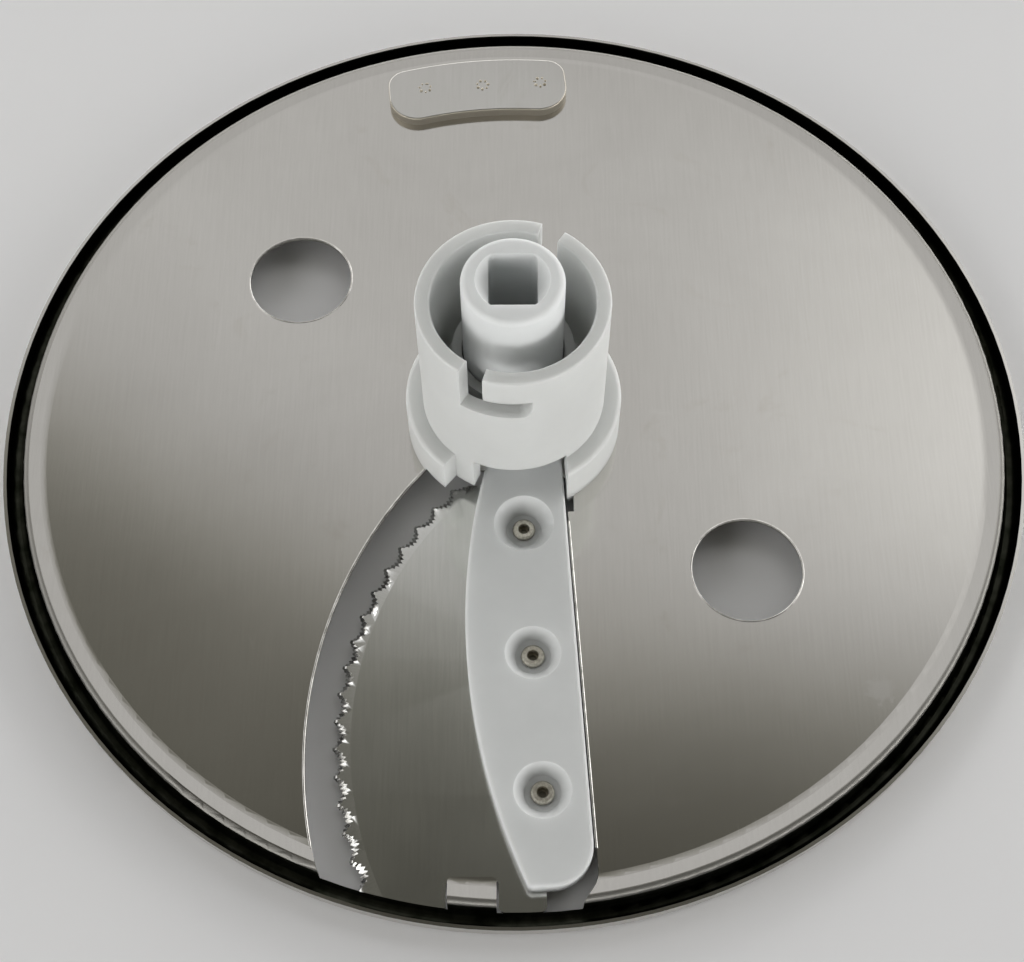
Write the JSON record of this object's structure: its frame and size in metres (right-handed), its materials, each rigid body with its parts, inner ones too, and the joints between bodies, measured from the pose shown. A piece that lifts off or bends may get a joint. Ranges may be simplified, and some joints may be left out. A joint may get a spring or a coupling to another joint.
{
  "type": "adjustable slicing disc",
  "caption": "Round pressed-steel slicing disc with a grooved rim, serrated blade on a sliding plastic carrier, finger holes, a balance weight and a bayonet hub collar.",
  "frame": {"origin": "on the spin axis, in the plane that the rim rests on with the hub side up", "axes": "+Z along the spin axis from the rim's resting plane towards the hub's mouth, -Y along the blade carrier's arm"},
  "size_m": [0.193, 0.193, 0.0513],
  "materials": {
    "plate_steel": "satin stainless steel",
    "weight_steel": "satin stainless steel",
    "collar_plastic": "matte white moulding",
    "carrier_plastic": "matte cool white moulding",
    "blade_steel": "ground stainless steel",
    "rivet_steel": "dull plated steel"
  },
  "bodies": {
    "plate": {"slicing_plate": "plate_steel", "balance_weight": "weight_steel", "hub_collar": "collar_plastic"},
    "carrier": {"blade_carrier": "carrier_plastic", "slicing_blade": "blade_steel", "blade_rivets": "rivet_steel"}
  },
  "joints": [
    {"name": "blade_height", "type": "slide", "parent": "plate", "child": "carrier", "axis": [0, 0, 1], "range_m": [0, 0.0025]}
  ]
}
